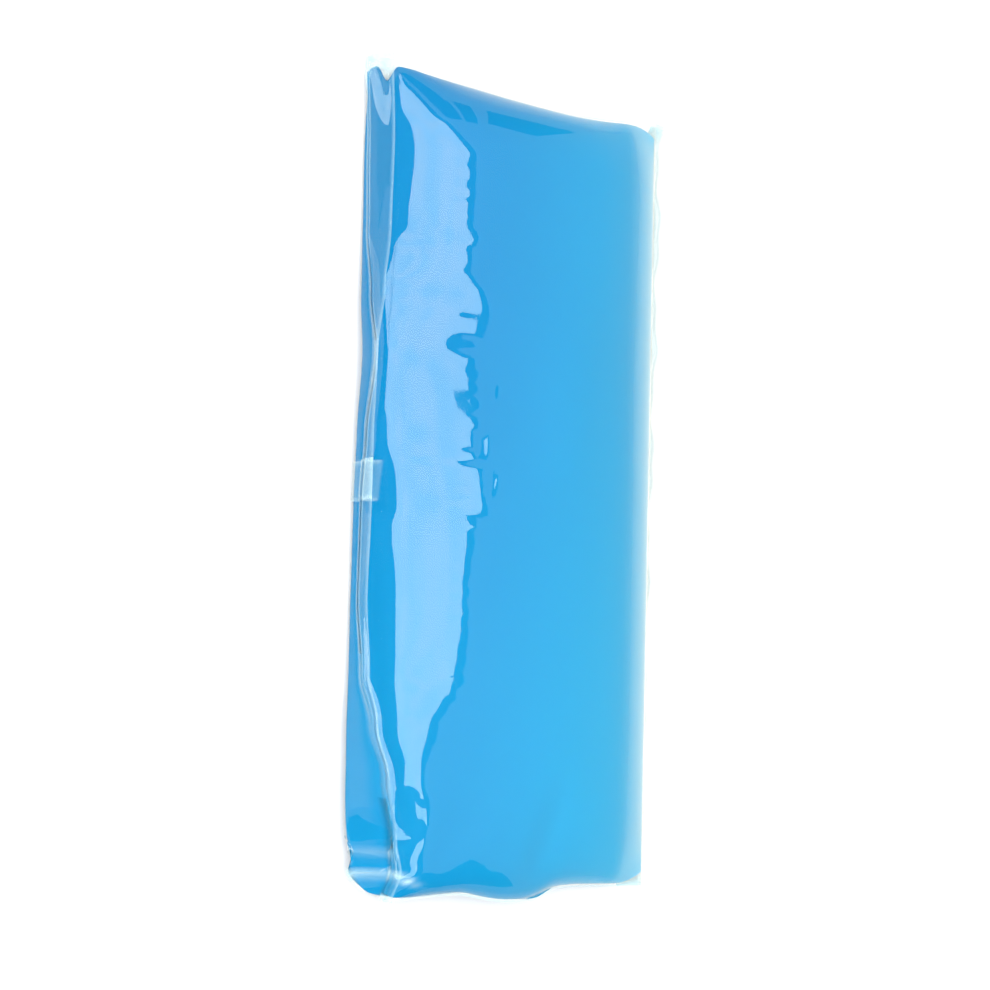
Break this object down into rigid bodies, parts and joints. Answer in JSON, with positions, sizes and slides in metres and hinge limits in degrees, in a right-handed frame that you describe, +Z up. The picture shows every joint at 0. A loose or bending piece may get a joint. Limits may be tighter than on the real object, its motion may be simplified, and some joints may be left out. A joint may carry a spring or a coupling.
{
  "type": "reusable ice pack",
  "caption": "Pillow pouch of clear film filled with translucent blue gel, lying flat with its long side seals folded round it.",
  "frame": {"origin": "on the surface that the pack lies on, under the middle of its box", "axes": "+Y along the length of the pack, +X across it towards the thin edge, +Z up through the front"},
  "size_m": [0.1182, 0.262, 0.0277],
  "materials": {
    "clear_film": "clear glossy film",
    "blue_gel": "translucent wet gel"
  },
  "bodies": {
    "root": {"film_pouch": "clear_film", "gel_fill": "blue_gel"}
  },
  "joints": []
}
